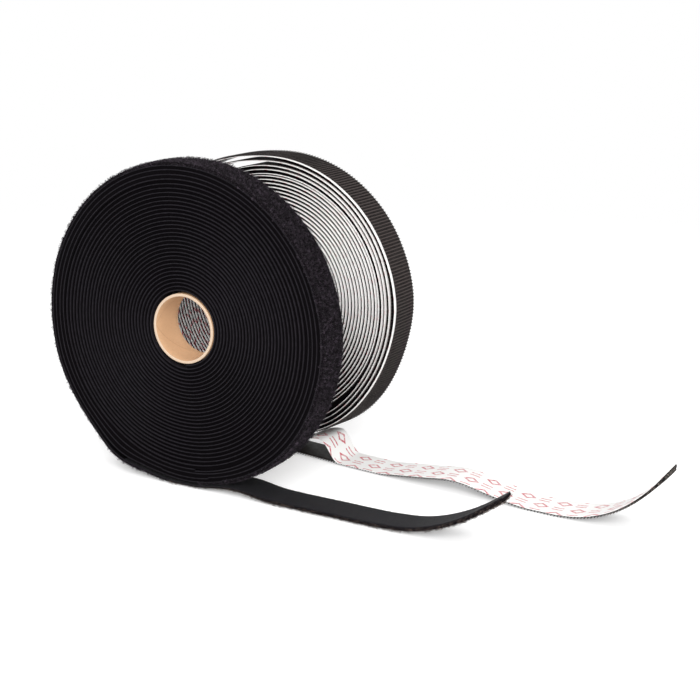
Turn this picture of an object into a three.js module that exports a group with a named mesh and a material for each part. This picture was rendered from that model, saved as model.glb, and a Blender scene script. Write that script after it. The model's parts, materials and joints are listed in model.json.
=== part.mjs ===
import * as THREE from 'three';

// A pair of hook and loop tape rolls standing side by side on a table.
// The front roll is loop tape with its pile outward; the rear roll is adhesive-backed hook tape
// wound with its release liner on the inside. Each roll's tail runs out along the table to the right.
// Millimetres, Z up, Y along the roll axes. The origin is on the table under the loop roll.

// Tape
const tapeWidth = 22;
const loopThickness = 2.3;
const hookThickness = 1.65;
const linerThickness = 0.35;
const linerOverhang = 2.2;

// Cardboard cores
const coreBore = 38.1;
const coreWall = 2.1;
const coreSegments = 48;

// Windings
const loopTurns = 24;
const hookTurns = 20.5;
const stepsPerTurn = 16;
const loopLayerGap = 0.5;
const hookLayerGap = 0.45;
const linerGap = 0.35;
const coreGap = 0.4;
const tailGap = 0.6;

// The pair on the table
const pairGap = 64;
const hookAxisX = 6.6;
const restFlat = 0.5;

// Loop tail: its last turn swells off the roll, bulges on the left and sags a little at the lower left,
// then it runs out along the table at a slight slant
const loopWrapStart = -85;
const loopTurnGrowth = 1.18;
const loopSwell = 1.6;
const loopSwellReach = 45;
const loopBulge = 1.1;
const loopBulgeAngle = 207;
const loopBulgeSpread = 30;
const loopSag = 4;
const loopSagAngle = 240;
const loopSagSpread = 11;
const loopFlatEnd = 8;
const loopTailSlant = 1.3;
const loopTailRoute = [
  [30, 2.8], [40, 2.7], [56, 0.6], [72, 0], [129, 0], [152, 2.1], [170, 7.7], [186, 15.8], [206.4, 30],
];

// Hook tail: its last two turns stand off the roll on the left and bulge at the lower right,
// the inner one by a share, then it runs out at a slant and a little bowed
const hookWrapStart = -160;
const hookSlack = 9;
const slackOpens = 92;
const slackFull = 150;
const slackCloses = 275;
const hookBulge = 3;
const hookBulgeAngle = 292;
const hookBulgeSpread = 26;
const innerBulgeShare = 0.8;
const hookFlatEnd = 92;
const hookTailSlant = 6.2;
const hookTailBow = 4.6;
const hookTailRoute = [
  [118, 3.6], [144, 6.6], [168, 2.9], [190, 0], [208, 0], [228, 2.9], [246, 10.8], [262, 24], [278, 43.7],
];

// Liner: it buckles off the tape under the roll, and its last stretch peels up
const archPeak = 42.5;
const archRise = 25;
const archFall = 13.5;
const archHeight = 10.8;
const linerShift = 2.4;
const peelLength = 42;
const peelGap = 0.3;

// Cut ends: each tail is cut at a slant, so that its far edge stops short of its near one
const loopCut = 6.4;
const hookCut = 9.6;
const cutReach = 40;

// Path sampling
const wrapStep = 6;
const tableStep = 2;
const tailStep = 5;

const degrees = Math.PI / 180;
const fullTurn = (2 * Math.PI) / degrees;
const downward = (3 * fullTurn) / 4;
const coreRadius = coreBore / 2 + coreWall;
const facetRatio = Math.cos(Math.PI / stepsPerTurn);
const windingStart = (coreRadius + coreGap) / facetRatio;
const loopPitch = loopThickness + loopLayerGap;
const hookStack = linerThickness + linerGap + hookThickness;
const hookPitch = hookStack + hookLayerGap;

const loopWindingOuter = windingStart + loopTurns * loopPitch + loopThickness;
const loopTailInner = loopWindingOuter + tailGap;
const loopTailOuter = (angle) =>
  loopTailInner + loopThickness + loopSwell * smooth((angle - loopWrapStart) / loopSwellReach)
  + (loopTurnGrowth * (angle - loopWrapStart)) / fullTurn;
const hookWindingOuter = windingStart + hookTurns * hookPitch + hookStack;
const hookTailInner = hookWindingOuter + tailGap;
const hookTailOuter = (angle) => hookTailInner + hookStack + (hookPitch * (angle - hookWrapStart)) / fullTurn;

const hookBottom = downward + fullTurn;
const hookWrapSteps = Math.round((hookBottom - hookWrapStart) / wrapStep);
const loopAxis = [0, loopTailOuter(downward) - restFlat];
const loopFlatAngle = Math.acos(loopAxis[1] / loopTailOuter(downward)) / degrees;
const loopWrapEnd = downward - loopFlatAngle;
const loopWrapSteps = Math.round((loopWrapEnd - loopWrapStart) / wrapStep);
const hookAxis = [hookAxisX, hookTailOuter(hookBottom) + hookSlack];
const loopNear = -tapeWidth / 2;
const hookNear = tapeWidth / 2 + pairGap + linerOverhang;
const linerNear = hookNear - linerOverhang;
const linerWidth = tapeWidth + linerOverhang;

const pile = new THREE.MeshStandardMaterial({ color: 0x121214, roughness: 0.96, metalness: 0 });
const hooks = new THREE.MeshStandardMaterial({ color: 0x1d1d1f, roughness: 0.62, metalness: 0 });
const paper = new THREE.MeshStandardMaterial({ color: 0xdcd9d4, roughness: 0.45, metalness: 0 });
const card = new THREE.MeshStandardMaterial({ color: 0xc79d68, roughness: 0.85, metalness: 0 });

function smooth(value) {
  return THREE.MathUtils.smoothstep(value, 0, 1);
}

function polar([x, z], radius, angle) {
  return [x + radius * Math.cos(angle * degrees), z + radius * Math.sin(angle * degrees)];
}

// The line moved to its left by a distance that may change from point to point
function offsetLine(line, distance) {
  return line.map(([x, z], i) => {
    const [x0, z0] = line[Math.max(i - 1, 0)];
    const [x1, z1] = line[Math.min(i + 1, line.length - 1)];
    const length = Math.hypot(x1 - x0, z1 - z0);
    const move = typeof distance === 'function' ? distance(x, z, i) : distance;
    return [x - (move * (z1 - z0)) / length, z + (move * (x1 - x0)) / length];
  });
}

// The line of a strip's far edge, drawn back along itself towards its end, for an end cut at a slant
function drawnBack(line, cut) {
  const last = line.length - 1;
  return line.map((point, i) => {
    const back = (cut / tailStep) * Math.max(0, 1 - ((last - i) * tailStep) / cutReach);
    const low = Math.floor(i - back);
    const share = i - back - low;
    const [x0, z0] = line[low];
    const [x1, z1] = line[Math.min(low + 1, last)];
    return [THREE.MathUtils.lerp(x0, x1, share), THREE.MathUtils.lerp(z0, z1, share)];
  });
}

// A closed strip running along Y between an inner and an outer line in the XZ plane.
// Its far edge may have lines of its own, and drift moves it along Y, for a tail that runs out at a slant.
function strip({ inner, outer, farInner = inner, farOuter = outer }, near, width, drift = () => 0) {
  const positions = [];
  const indices = [];
  inner.forEach(([x, z], i) => {
    const y0 = near + drift(outer[i], i);
    const y1 = near + drift(farOuter[i], i) + width;
    positions.push(x, y0, z, outer[i][0], y0, outer[i][1]);
    positions.push(farOuter[i][0], y1, farOuter[i][1], farInner[i][0], y1, farInner[i][1]);
  });
  const quad = (a, b, c, d) => indices.push(a, b, c, a, c, d);
  for (let i = 0; i < inner.length - 1; i += 1) {
    const a = 4 * i;
    const b = a + 4;
    quad(a + 1, b + 1, b, a);
    quad(a + 2, a + 3, b + 3, b + 2);
    quad(a, b, b + 3, a + 3);
    quad(a + 1, a + 2, b + 2, b + 1);
  }
  const last = 4 * (inner.length - 1);
  quad(1, 0, 3, 2);
  quad(last + 1, last + 2, last + 3, last);
  const geometry = new THREE.BufferGeometry();
  geometry.setAttribute('position', new THREE.Float32BufferAttribute(positions, 3));
  geometry.setIndex(indices);
  geometry.computeVertexNormals();
  return geometry;
}

function piece(name, geometry, material) {
  const mesh = new THREE.Mesh(geometry, material.clone());
  mesh.name = name;
  return mesh;
}

function coreTube() {
  const bore = coreBore / 2;
  const profile = [
    [bore, 0], [coreRadius, 0], [coreRadius, tapeWidth], [bore, tapeWidth], [bore, 0],
  ].map(([radius, height]) => new THREE.Vector2(radius, height));
  return new THREE.LatheGeometry(profile, coreSegments);
}

function placedCore(name, [x, z], near) {
  const mesh = piece(name, coreTube(), card);
  mesh.position.set(x, near, z);
  return mesh;
}

// One layer of a flat spiral winding: an unbroken strip whose radius grows by one pitch a turn,
// and which ends at an angle where the loose turns take over
function spiral(axis, endAngle, turns, pitch, startRadius, thickness) {
  const inner = [];
  const outer = [];
  for (let step = 0; step <= turns * stepsPerTurn; step += 1) {
    const turn = step / stepsPerTurn;
    const radius = startRadius + pitch * turn;
    const angle = endAngle + fullTurn * (turn - turns);
    inner.push(polar(axis, radius, angle));
    outer.push(polar(axis, radius + thickness, angle));
  }
  return { inner, outer };
}

// The least gap between one turn's outer line and the next turn's inner chords
function leastGap({ inner, outer }) {
  let least = Infinity;
  for (let i = 0; i + stepsPerTurn + 1 < inner.length; i += 1) {
    const [ax, az] = inner[i + stepsPerTurn];
    const [bx, bz] = inner[i + stepsPerTurn + 1];
    const along = Math.hypot(bx - ax, bz - az);
    for (const [px, pz] of [outer[i], outer[i + 1]]) {
      least = Math.min(least, Math.abs((bx - ax) * (pz - az) - (bz - az) * (px - ax)) / along);
    }
  }
  return least;
}

// Points of a smooth route along the table, starting level from its first point
function tableRoute(start, flatEnd, route) {
  const points = [];
  for (let x = start; x < flatEnd; x += tableStep) points.push([x, 0]);
  const knots = [[flatEnd, 0], ...route].map(([x, z]) => new THREE.Vector3(x, 0, z));
  const curve = new THREE.CatmullRomCurve3(knots, false, 'centripetal');
  const steps = Math.round(curve.getLength() / tailStep);
  curve.getSpacedPoints(steps).forEach(({ x, z }) => points.push([x, Math.max(z, 0)]));
  return points;
}

// A rounded rise of a turn about one angle
function rise(angle, height, peak, spread) {
  return height * Math.exp(-(((angle - peak) / spread) ** 2));
}

function loopTailLine() {
  const line = [];
  for (let step = 0; step < loopWrapSteps; step += 1) {
    const angle = THREE.MathUtils.lerp(loopWrapStart, loopWrapEnd, step / loopWrapSteps);
    const sag = rise(angle, loopSag, loopSagAngle, loopSagSpread);
    const bulge = rise(angle, loopBulge, loopBulgeAngle, loopBulgeSpread);
    line.push(polar(loopAxis, loopTailOuter(angle) + sag + bulge, angle));
  }
  const flatStart = -loopAxis[1] * Math.tan(loopFlatAngle * degrees);
  return [...line, ...tableRoute(flatStart, loopFlatEnd, loopTailRoute)];
}

// How far the loose turns stand off the roll, on the inner and on the outer of the two passes
function standOff(angle) {
  const turnAngle = angle > slackOpens + fullTurn ? angle - fullTurn : angle;
  const opened = smooth((turnAngle - slackOpens) / (slackFull - slackOpens));
  const closed = turnAngle === angle ? smooth((angle - slackFull) / (slackCloses - slackFull)) : 0;
  const outerBulge = rise(angle, hookBulge, hookBulgeAngle, hookBulgeSpread);
  const innerBulge = rise(angle + fullTurn, hookBulge * innerBulgeShare, hookBulgeAngle, hookBulgeSpread);
  return hookSlack * opened * (1 - closed) + outerBulge + innerBulge;
}

function hookTailLine() {
  const line = [];
  for (let step = 0; step < hookWrapSteps; step += 1) {
    const angle = THREE.MathUtils.lerp(hookWrapStart, hookBottom, step / hookWrapSteps);
    line.push(polar(hookAxis, hookTailOuter(angle) + standOff(angle), angle));
  }
  return [...line, ...tableRoute(hookAxisX, hookFlatEnd, hookTailRoute)];
}

const loopSpiral = spiral(loopAxis, loopWrapStart, loopTurns, loopPitch, windingStart, loopThickness);
const linerSpiral = spiral(hookAxis, hookWrapStart, hookTurns, hookPitch, windingStart, linerThickness);
const hookSpiral = spiral(
  hookAxis, hookWrapStart, hookTurns, hookPitch, windingStart + linerThickness + linerGap, hookThickness,
);
for (const [name, winding] of Object.entries({ loopSpiral, linerSpiral, hookSpiral })) {
  console.log(`${name}: least gap between turns ${leastGap(winding).toFixed(2)} mm`);
}

const loopTail = loopTailLine();
const hookTail = hookTailLine();
const [hookTailEnd] = hookTail[hookTail.length - 1];

// How far each tail has drifted towards the front, once it is on the table
function loopDrift([x], i) {
  return i < loopWrapSteps ? 0 : -Math.max(x - loopFlatEnd, 0) * Math.tan(loopTailSlant * degrees);
}

function hookDrift([x], i) {
  if (i < hookWrapSteps) return 0;
  const along = x - hookAxisX;
  const bow = hookTailBow * Math.sin((Math.PI * along) / (hookTailEnd - hookAxisX));
  return -along * Math.tan(hookTailSlant * degrees) - bow;
}

// Past the fold the liner lies a little further back than in the roll
function linerDrift([x], i) {
  const shift = smooth((x - archPeak + archRise) / (archRise + archFall));
  return i < hookWrapSteps ? 0 : hookDrift([x], i) + linerShift * shift;
}

const linerBase = offsetLine(hookTail, (x, z, i) => {
  const reach = x < archPeak ? archRise : archFall;
  const away = THREE.MathUtils.clamp((x - archPeak) / reach, -1, 1);
  const fold = i < hookWrapSteps ? 0 : (archHeight * (1 + Math.cos(Math.PI * away))) / 2;
  return hookThickness + linerGap + fold;
});
const linerTop = offsetLine(linerBase, linerThickness);
const peelSteps = Math.round(peelLength / tailStep);
const peelStart = hookTail.length - 1 - peelSteps;

// A tail's tape: its outer side is on the line, its inner side to the left of it
function tailStrip(line, thickness, cut) {
  const inner = offsetLine(line, thickness);
  return { inner, outer: line, farInner: drawnBack(inner, cut), farOuter: drawnBack(line, cut) };
}

// The fixed liner ends a small gap short of the stretch that peels up
function shortened(line) {
  const [x0, z0] = line[peelStart - 1];
  const [x1, z1] = line[peelStart];
  const share = 1 - peelGap / Math.hypot(x1 - x0, z1 - z0);
  return [...line.slice(0, peelStart), [x0 + (x1 - x0) * share, z0 + (z1 - z0) * share]];
}

const fixedLiner = { inner: shortened(linerTop), outer: shortened(linerBase) };
const peeledLiner = {
  inner: linerTop.slice(peelStart),
  outer: linerBase.slice(peelStart),
  farInner: drawnBack(linerTop, hookCut).slice(peelStart),
  farOuter: drawnBack(linerBase, hookCut).slice(peelStart),
};

const part = new THREE.Group();
part.add(
  placedCore('loop_core', loopAxis, loopNear),
  piece('loop_winding', strip(loopSpiral, loopNear, tapeWidth), pile),
  piece('loop_tail', strip(tailStrip(loopTail, loopThickness, loopCut), loopNear, tapeWidth, loopDrift), pile),
  placedCore('hook_core', hookAxis, hookNear),
  piece('hook_winding', strip(hookSpiral, hookNear, tapeWidth), hooks),
  piece('hook_liner_winding', strip(linerSpiral, linerNear, linerWidth), paper),
  piece('hook_tail', strip(tailStrip(hookTail, hookThickness, hookCut), hookNear, tapeWidth, hookDrift), hooks),
  piece('hook_tail_liner', strip(fixedLiner, linerNear, linerWidth, linerDrift), paper),
  piece('hook_liner_end', strip(peeledLiner, linerNear, linerWidth, (point) => linerDrift(point, hookWrapSteps)), paper),
);

console.log(`loop roll axis at z ${loopAxis[1].toFixed(3)}, hook roll axis at x ${hookAxis[0]}, z ${hookAxis[1].toFixed(3)}`);
console.log(`liner peels about x ${linerTop[peelStart][0].toFixed(3)}, z ${linerTop[peelStart][1].toFixed(3)}`);

export default part;
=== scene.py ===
import json
import math
from functools import partial
import bmesh
import bpy
import numpy as np
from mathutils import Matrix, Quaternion, Vector


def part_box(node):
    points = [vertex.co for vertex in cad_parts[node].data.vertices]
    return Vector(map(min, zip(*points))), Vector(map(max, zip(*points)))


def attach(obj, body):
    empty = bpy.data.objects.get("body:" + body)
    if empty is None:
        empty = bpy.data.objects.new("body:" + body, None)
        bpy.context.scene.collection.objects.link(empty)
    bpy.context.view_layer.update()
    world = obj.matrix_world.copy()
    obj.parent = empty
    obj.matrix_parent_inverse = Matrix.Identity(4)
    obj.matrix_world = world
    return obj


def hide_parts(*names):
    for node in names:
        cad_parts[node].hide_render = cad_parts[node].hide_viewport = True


# A pair of tape rolls on a pale floor: loop tape in front, hook tape with its release liner behind

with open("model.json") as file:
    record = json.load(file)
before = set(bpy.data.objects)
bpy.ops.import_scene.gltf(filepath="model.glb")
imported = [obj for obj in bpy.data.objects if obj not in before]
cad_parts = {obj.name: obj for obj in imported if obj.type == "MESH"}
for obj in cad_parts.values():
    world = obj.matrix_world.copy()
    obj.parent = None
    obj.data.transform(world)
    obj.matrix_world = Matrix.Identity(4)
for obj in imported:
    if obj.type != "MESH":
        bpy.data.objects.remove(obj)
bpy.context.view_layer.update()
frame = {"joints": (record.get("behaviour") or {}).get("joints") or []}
mm = 0.001
fullTurn = 2 * math.pi
joints = {joint["name"]: joint for joint in frame["joints"]}
loopAxis = Vector(joints["loop_spin"]["pos_m"])
hookAxis = Vector(joints["hook_spin"]["pos_m"])
scene = bpy.context.scene
scene.view_settings.view_transform = "Standard"


# Camera

photoView = {
    "place": (0.4762, -0.6628, 0.2943),
    "target": (0.1118, -0.0110, 0.0986),
    "lens": 73.72,
    "sensor": 36.0,
    "clip": (0.01, 100.0),
    "roll": 0.21,  # degrees
}


def linkPiece(name, data):
    piece = bpy.data.objects.new(name, data)
    scene.collection.objects.link(piece)
    return piece


def aim(piece, place, target, roll=0.0):
    piece.location = place
    piece.rotation_mode = "QUATERNION"
    facing = (Vector(target) - Vector(place)).to_track_quat("-Z", "Y")
    piece.rotation_quaternion = facing @ Quaternion((0, 0, 1), math.radians(roll))


def makeCamera(sizes):
    data = bpy.data.cameras.new("photoCamera")
    data.lens = sizes["lens"]
    data.sensor_width = sizes["sensor"]
    data.clip_start, data.clip_end = sizes["clip"]
    scene.camera = linkPiece("photoCamera", data)
    aim(scene.camera, sizes["place"], sizes["target"], sizes["roll"])


makeCamera(photoView)
print("camera set")


# Node helpers, for materials and for Geometry Nodes alike

building = {}  # the node tree that is being made, and the shader of a material


def feed(socket, value):
    if isinstance(value, bpy.types.NodeSocket):
        building["tree"].links.new(value, socket)
    else:
        socket.default_value = value


def addNode(kind, inputs=None, **settings):
    node = building["tree"].nodes.new(kind)
    for key, value in settings.items():
        setattr(node, key, value)
    for key, value in (inputs or {}).items():
        feed(node.inputs[key], value)
    return node


def result(kind, inputs=None, **settings):
    return addNode(kind, inputs, **settings).outputs[0]


def calc(operation, *values):
    return result("ShaderNodeMath", dict(enumerate(values)), operation=operation)


times, plus, minus, ratio, timesPlus, power, absolute, sine = (
    partial(calc, operation)
    for operation in ("MULTIPLY", "ADD", "SUBTRACT", "DIVIDE", "MULTIPLY_ADD", "POWER", "ABSOLUTE", "SINE")
)


def vectorCalc(operation, inputs):
    return addNode("ShaderNodeVectorMath", inputs, operation=operation).outputs


def vector(x, y, z):
    return result("ShaderNodeCombineXYZ", {"X": x, "Y": y, "Z": z})


def noise(place, scale, detail):
    return result("ShaderNodeTexNoise", {"Vector": place, "Scale": scale, "Detail": detail})


# Materials

def shade(socket, value):
    feed(building["shader"].inputs[socket], value)


def newMaterial(name, colour, **sockets):
    material = bpy.data.materials.new(name)
    material.use_nodes = True
    building["tree"] = material.node_tree
    building["shader"] = material.node_tree.nodes["Principled BSDF"]
    shade("Base Color", (*colour, 1))
    for key, value in sockets.items():
        shade(key.replace("_", " "), value)
    return material


def attribute(name):
    return addNode("ShaderNodeAttribute", attribute_name=name).outputs["Fac"]


def objectPlace():
    return addNode("ShaderNodeTexCoord").outputs["Object"]


def blendColours(share, first, second):
    node = addNode("ShaderNodeMix", {"Factor": share}, data_type="RGBA")
    for socket, value in ((node.inputs[6], first), (node.inputs[7], second)):
        feed(socket, value if isinstance(value, bpy.types.NodeSocket) else (*value, 1))
    return node.outputs[2]


def tint(share, first, second):
    shade("Base Color", blendColours(share, first, second))


def between(value, low, high):
    return result("ShaderNodeMapRange", {"Value": value, "From Min": low, "From Max": high})


def grain(scale, detail):
    return noise(objectPlace(), scale, detail)


def bump(height, distance, strength):
    inputs = {"Height": height, "Distance": distance, "Strength": strength}
    shade("Normal", result("ShaderNodeBump", inputs))


def waves(value, pitch):
    return sine(times(value, fullTurn / pitch))


def weave(pitchRun, pitchAcross):
    run = waves(attribute("run"), pitchRun)
    across = waves(attribute("across"), pitchAcross)
    return times(run, across)


loopBack = {
    "name": "loopBack", "dark": (0.0036, 0.0033, 0.005), "light": (0.0082, 0.0076, 0.0106),
    "cloud": 140.0, "weave": (0.5 * mm, 0.4 * mm), "shine": 0.17, "sheen": 0.02,
}
loopEdge = {
    "name": "loopEdge", "dark": (0.004, 0.0033, 0.0043), "light": (0.021, 0.0185, 0.0232),
    "cloud": 430.0, "weave": (0.5 * mm, 0.4 * mm), "shine": 0.08, "sheen": 0.0,
}


def loopBackMaterial(sizes):
    material = newMaterial(
        sizes["name"], sizes["dark"], Roughness=0.62,
        Sheen_Weight=sizes["sheen"], Specular_IOR_Level=sizes["shine"],
    )
    tint(grain(sizes["cloud"], detail=4.0), sizes["dark"], sizes["light"])
    bump(weave(*sizes["weave"]), distance=0.06 * mm, strength=0.7)
    return material


loopFibre = {
    "name": "loopFibre", "dark": (0.005, 0.004, 0.005), "light": (0.078, 0.06, 0.08), "clump": 380.0,
}
loopFringe = {
    "name": "loopFringe", "dark": (0.006, 0.0045, 0.004), "light": (0.22, 0.165, 0.14), "clump": 500.0,
}


def loopFibreMaterial(sizes):
    material = newMaterial(
        sizes["name"], sizes["dark"], Roughness=0.8, Sheen_Weight=0.06, Specular_IOR_Level=0.15
    )
    clump = between(grain(sizes["clump"], detail=2.0), low=0.36, high=0.6)
    darkest = 0.18
    tone = times(attribute("tone"), timesPlus(clump, 1 - darkest, darkest))
    tint(tone, sizes["dark"], sizes["light"])
    return material


loopBed = {"name": "loopBed", "dark": (0.002, 0.0016, 0.002), "light": (0.0105, 0.0081, 0.0106)}
# the darker copy of the bed is painted shade: it goes on pile and hooks down in the gaps between turns and
# under loose turns
paintedShadeBed = {"name": "paintedShadeBed", "dark": (0.001, 0.0008, 0.001), "light": (0.0045, 0.0035, 0.0046)}


def loopBedMaterial(sizes):
    material = newMaterial(sizes["name"], sizes["dark"], Roughness=0.95, Specular_IOR_Level=0.03)
    tuft = grain(scale=1900.0, detail=3.0)
    tint(tuft, sizes["dark"], sizes["light"])
    bump(tuft, distance=0.4 * mm, strength=0.8)
    return material


hookGround = {
    "dark": (0.003, 0.0023, 0.0022), "light": (0.078, 0.062, 0.059),
    "rib": 2.05 * mm, "weave": (0.6 * mm, 0.5 * mm), "weaveShare": 0.35,
}


def hookGroundMaterial(sizes):
    material = newMaterial("hookGround", sizes["dark"], Roughness=0.55, Specular_IOR_Level=0.1)
    rib = waves(attribute("run"), sizes["rib"])
    # the rib stripes in the colour are painted light and shade: lighter where the rows of hooks catch the
    # light, darker between them
    tint(between(rib, low=-0.2, high=1.0), sizes["dark"], sizes["light"])
    height = timesPlus(weave(*sizes["weave"]), sizes["weaveShare"], rib)
    bump(height, distance=0.12 * mm, strength=0.8)
    return material


# rarity is how few of the hooks get the lighter tone; on the fringe that lighter tone is a painted glint,
# light caught by single hooks
hookWire = {
    "name": "hookWire", "dark": (0.019, 0.0155, 0.015), "light": (0.05, 0.041, 0.039), "rarity": 1.0,
}
hookGlintFringe = {
    "name": "hookGlintFringe", "dark": (0.005, 0.0042, 0.004), "light": (0.42, 0.36, 0.31), "rarity": 5.0,
}


def hookWireMaterial(sizes):
    material = newMaterial(sizes["name"], sizes["dark"], Roughness=0.45, Specular_IOR_Level=0.2)
    tone = power(attribute("tone"), sizes["rarity"])
    tint(tone, sizes["dark"], sizes["light"])
    return material


adhesive = {"dark": (0.0085, 0.0068, 0.0058), "light": (0.019, 0.0153, 0.0132)}


def adhesiveMaterial(sizes):
    material = newMaterial("adhesiveCoat", sizes["dark"], Roughness=0.4, Specular_IOR_Level=0.16)
    patch = grain(scale=420.0, detail=3.0)
    tint(patch, sizes["dark"], sizes["light"])
    shade("Roughness", between(patch, low=-1.0, high=2.0))
    bump(patch, distance=0.08 * mm, strength=0.6)
    return material


# A generic repeat in red: rows of small diamonds with a pair of dashes between them, laid like bricks
linerPrint = {
    "paper": (0.93, 0.924, 0.91),
    "shade": (0.885, 0.876, 0.86),
    "ink": (0.52, 0.03, 0.06),
    "repeat": 23.0 * mm,
    "row": 8.8 * mm,
    "diamond": (5.2 * mm, 3.7 * mm),
    "diamondAt": 0.22,  # share of the repeat before its middle
    "dash": (3.4 * mm, 0.5 * mm),
    "dashAt": 0.24,  # share of the repeat past its middle
    "dashLift": 1.5 * mm,
    "line": 0.42,
    "strength": 0.9,
    "behind": 0.06,  # the print shows through faintly on the other side
}


def linerMaterial(sizes):
    material = newMaterial("linerPaper", sizes["paper"], Roughness=0.42)
    repeat = sizes["repeat"]
    # the edges of the paper cut through a row
    rows = plus(ratio(attribute("across"), sizes["row"]), 0.5)
    odd = calc("MODULO", calc("FLOOR", rows), 2.0)
    shifted = timesPlus(odd, 0.5, ratio(attribute("run"), repeat))
    x = times(minus(calc("FRACT", shifted), 0.5), repeat)
    y = absolute(times(minus(calc("FRACT", rows), 0.5), sizes["row"]))
    fromDiamond = absolute(plus(x, repeat * sizes["diamondAt"]))
    length, height = sizes["diamond"]
    farness = plus(ratio(fromDiamond, length), ratio(y, height))
    ring = calc("COMPARE", farness, 1.0 - sizes["line"] / 2, sizes["line"] / 2)
    besideDash = absolute(minus(x, repeat * sizes["dashAt"]))
    offDash = absolute(minus(y, sizes["dashLift"]))
    long = calc("LESS_THAN", besideDash, sizes["dash"][0])
    thin = calc("LESS_THAN", offDash, sizes["dash"][1])
    mark = calc("MAXIMUM", ring, times(long, thin))
    side = between(attribute("inward"), low=0.45, high=0.55)
    strength = timesPlus(side, sizes["strength"], sizes["behind"])
    patchy = between(grain(scale=900.0, detail=3.0), low=0.15, high=0.6)
    inked = times(times(mark, strength), patchy)
    paper = blendColours(grain(scale=90.0, detail=4.0), sizes["shade"], sizes["paper"])
    tint(inked, paper, sizes["ink"])
    bump(grain(scale=700.0, detail=4.0), distance=0.05 * mm, strength=0.5)
    return material


coreCard = {
    "tan": (0.53, 0.325, 0.18),
    "pale": (0.64, 0.4, 0.23),
    "fleck": (0.38, 0.215, 0.115),
    "fleckStrength": 0.5,
    "seam": 60.0 * mm,
    "seamSlant": 1.3,
    "seamStrength": 0.55,
    "seamWidth": 0.009,  # share of the way from one seam to the next
    "rimPale": (0.66, 0.51, 0.38),
    "rimDark": (0.5, 0.365, 0.26),
    "ply": 0.42 * mm,
    "plyWander": 0.12 * mm,
}


def coreCardMaterial(sizes):
    material = newMaterial("coreCard", sizes["tan"], Roughness=0.82)
    board = blendColours(grain(scale=60.0, detail=5.0), sizes["tan"], sizes["pale"])
    fleck = between(grain(scale=1500.0, detail=2.0), low=0.63, high=0.72)
    flecked = blendColours(times(fleck, sizes["fleckStrength"]), board, sizes["fleck"])
    slant = plus(attribute("run"), times(attribute("across"), sizes["seamSlant"]))
    turn = calc("FRACT", ratio(slant, sizes["seam"]))
    seam = calc("LESS_THAN", turn, sizes["seamWidth"])
    tint(times(seam, sizes["seamStrength"]), flecked, sizes["fleck"])
    bump(minus(grain(scale=850.0, detail=5.0), seam), distance=0.12 * mm, strength=0.5)
    return material


def coreRimMaterial(sizes):
    material = newMaterial("coreRim", sizes["rimPale"], Roughness=0.9)
    rough = grain(scale=900.0, detail=3.0)
    ply = waves(timesPlus(rough, sizes["plyWander"], attribute("depth")), sizes["ply"])
    tint(between(ply, low=-1.6, high=2.4), sizes["rimPale"], sizes["rimDark"])
    bump(plus(ply, rough), distance=0.06 * mm, strength=0.5)
    return material


finishes = {
    "loopBack": loopBackMaterial(loopBack),
    "loopEdge": loopBackMaterial(loopEdge),
    "loopFibre": loopFibreMaterial(loopFibre),
    "loopFringe": loopFibreMaterial(loopFringe),
    "loopBed": loopBedMaterial(loopBed),
    "paintedShadeBed": loopBedMaterial(paintedShadeBed),
    "hookGround": hookGroundMaterial(hookGround),
    "hookWire": hookWireMaterial(hookWire),
    "hookGlintFringe": hookWireMaterial(hookGlintFringe),
    "adhesive": adhesiveMaterial(adhesive),
    "liner": linerMaterial(linerPrint),
    "coreCard": coreCardMaterial(coreCard),
    "coreRim": coreRimMaterial(coreCard),
}
print("materials made:", len(finishes))


# Mesh helpers

creaseAngle = math.radians(50)
cornerShare = 0.3  # how far in the middle of a rounded corner lies


def newMesh(name, points, faces):
    mesh = bpy.data.meshes.new(name)
    mesh.from_pydata(points, [], faces)
    return mesh


def tubeFaces(rows, count):
    # faces round the tube between each row of points and the next, and a cap at both ends
    faces = [
        (i * count + k, i * count + (k + 1) % count, (i + 1) * count + (k + 1) % count, (i + 1) * count + k)
        for i in range(rows - 1) for k in range(count)
    ]
    last = (rows - 1) * count
    return faces + [tuple(range(count)), tuple(range(last + count - 1, last - 1, -1))]


def setPointValues(mesh, **layers):
    for name, values in layers.items():
        layer = mesh.attributes.new(name, "FLOAT", "POINT")
        layer.data.foreach_set("value", np.asarray(values, dtype=np.float32))


def pointValues(piece, name):
    values = np.zeros(len(piece.data.vertices), dtype=np.float32)
    piece.data.attributes[name].data.foreach_get("value", values)
    return values


def faceOutward(mesh):
    work = bmesh.new()
    work.from_mesh(mesh)
    bmesh.ops.recalc_face_normals(work, faces=work.faces)
    work.to_mesh(mesh)
    work.free()
    mesh.polygons.foreach_set("use_smooth", [True] * len(mesh.polygons))
    mesh.set_sharp_from_angle(angle=creaseAngle)
    mesh.update()


def triangles(piece):
    return sum(len(face.vertices) - 2 for face in piece.data.polygons)


def report(*pieces):
    print("made", ", ".join(f"{piece.name} {triangles(piece)}" for piece in pieces))


def newTree(name, floats, **others):
    tree = bpy.data.node_groups.new(name, "GeometryNodeTree")
    building["tree"] = tree
    for label, kind in {"Geometry": "Geometry", **dict.fromkeys(floats, "Float"), **others}.items():
        tree.interface.new_socket(label, in_out="INPUT", socket_type="NodeSocket" + kind)
    tree.interface.new_socket("Geometry", in_out="OUTPUT", socket_type="NodeSocketGeometry")
    return tree, addNode("NodeGroupInput").outputs


def endTree(geometry, material):
    whole = result("GeometryNodeRealizeInstances", {"Geometry": geometry})
    dressed = result("GeometryNodeSetMaterial", {"Geometry": whole, "Material": material})
    addNode("NodeGroupOutput", {0: dressed})


def store(geometry, name, value, domain="POINT"):
    return result("GeometryNodeStoreNamedAttribute", {
        "Geometry": geometry, "Name": name, "Value": value,
    }, domain=domain)


def stored(name, kind="FLOAT"):
    return result("GeometryNodeInputNamedAttribute", {"Name": name}, data_type=kind)


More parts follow.
